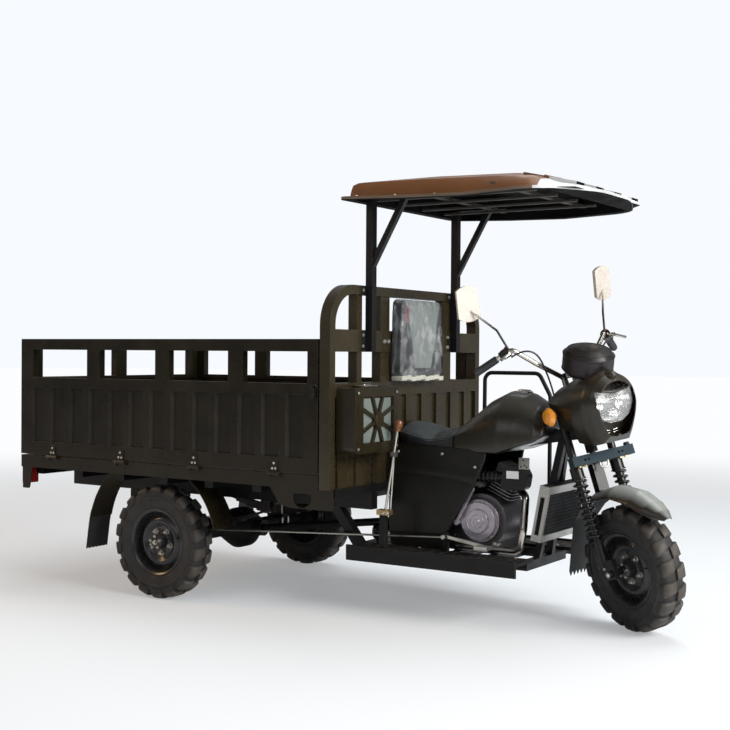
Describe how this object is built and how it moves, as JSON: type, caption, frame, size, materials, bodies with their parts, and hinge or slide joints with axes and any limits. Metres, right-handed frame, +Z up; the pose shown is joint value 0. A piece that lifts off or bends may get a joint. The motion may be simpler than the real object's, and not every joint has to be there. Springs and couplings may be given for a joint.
{
  "type": "three-wheeled cargo motorcycle",
  "caption": "Three-wheeled cargo motorcycle with a drop-side load bed, headboard, roof over the rider, open engine and steered front fork.",
  "frame": {"origin": "on the ground under the middle of the vehicle's overall box", "axes": "+X forward, +Y to the rider's left, +Z up"},
  "size_m": [3.3746, 1.436, 2.0207],
  "materials": {
    "olive_paint": "satin military olive paint, orange peel, light dust",
    "black_paint": "gloss black chassis enamel",
    "bar_paint": "blue-grey satin paint",
    "tyre_rubber": "matt black natural rubber",
    "flap_rubber": "matt black rubber sheet",
    "roof_skin": "moulded roof skin, tan brown with a pale lip",
    "saddle_vinyl": "black grained vinyl",
    "backrest_vinyl": "dark grey vinyl in a clear wrap",
    "engine_alloy": "cast aluminium, bead blasted",
    "cylinder_alloy": "dark cast aluminium fins",
    "zinc": "zinc plated steel",
    "chrome": "bright chrome plate",
    "lamp_glass": "clear faceted lens",
    "amber_lens": "amber lens",
    "red_lens": "red lens",
    "black_plastic": "moulded black plastic",
    "hub_paint": "black wheel enamel",
    "spring_steel": "dark oiled spring steel with red-brown primer"
  },
  "bodies": {
    "chassis": {"chassis_rails": "black_paint", "cross_members": "black_paint", "engine_cradle": "black_paint", "bed_floor": "olive_paint", "headboard": "olive_paint", "canopy_frame": "black_paint", "canopy_roof": "roof_skin", "tool_box": "olive_paint", "backrest": "backrest_vinyl", "saddle": "saddle_vinyl", "fuel_tank": "olive_paint", "side_covers": "olive_paint", "footboards": "black_paint", "crankcase": "engine_alloy", "cylinder": "cylinder_alloy", "intake": "black_plastic", "exhaust": "chrome", "radiator": "black_paint", "radiator_brackets": "zinc", "guard_bar": "black_paint", "gear_lever": "zinc", "brake_linkage": "zinc", "rear_axle": "spring_steel", "leaf_springs": "spring_steel", "drive_shaft": "black_paint", "rear_fenders": "olive_paint", "rear_mudflaps": "flap_rubber", "tail_lamps": "red_lens"},
    "front_wheel_body": {"front_tyre": "tyre_rubber", "front_wheel": "hub_paint"},
    "right_wheel_body": {"tyre_right": "tyre_rubber", "wheel_right": "hub_paint"},
    "left_wheel_body": {"tyre_left": "tyre_rubber", "wheel_left": "hub_paint"},
    "right_gate": {"side_gate_right": "olive_paint"},
    "left_gate": {"side_gate_left": "olive_paint"},
    "rear_gate": {"tail_gate": "olive_paint"},
    "steering": {"fork": "black_paint", "fork_springs": "black_paint", "fork_bar": "bar_paint", "front_fender": "olive_paint", "front_mudflap": "flap_rubber", "headlamp_cowl": "olive_paint", "headlamp_lens": "lamp_glass", "instrument_pod": "black_plastic", "handlebar": "black_paint", "grips": "flap_rubber", "mirrors": "chrome", "turn_signals": "amber_lens", "control_cables": "flap_rubber"}
  },
  "joints": [
    {"name": "steering_turn", "type": "hinge", "parent": "chassis", "child": "steering", "pos_m": [1.37545, 0, 0.26589], "axis": [-0.309, 0, 0.9511], "range_deg": [-10, 70]},
    {"name": "front_wheel_spin", "type": "hinge", "parent": "steering", "child": "front_wheel_body", "pos_m": [1.41663, -0.025, 0.27927], "axis": [0.4755, 0.866, 0.1545], "continuous": true},
    {"name": "right_wheel_spin", "type": "hinge", "parent": "chassis", "child": "right_wheel_body", "pos_m": [-0.767, -0.6075, 0.275], "axis": [0, 1, 0], "continuous": true},
    {"name": "left_wheel_spin", "type": "hinge", "parent": "chassis", "child": "left_wheel_body", "pos_m": [-0.767, 0.6075, 0.275], "axis": [0, 1, 0], "continuous": true},
    {"name": "right_gate_drop", "type": "hinge", "parent": "chassis", "child": "right_gate", "pos_m": [-0.767, -0.71, 0.658], "axis": [1, 0, 0], "range_deg": [0, 175]},
    {"name": "left_gate_drop", "type": "hinge", "parent": "chassis", "child": "left_gate", "pos_m": [-0.767, 0.71, 0.658], "axis": [-1, 0, 0], "range_deg": [0, 175]},
    {"name": "rear_gate_drop", "type": "hinge", "parent": "chassis", "child": "rear_gate", "pos_m": [-1.684, 0, 0.658], "axis": [0, -1, 0], "range_deg": [0, 175]}
  ]
}
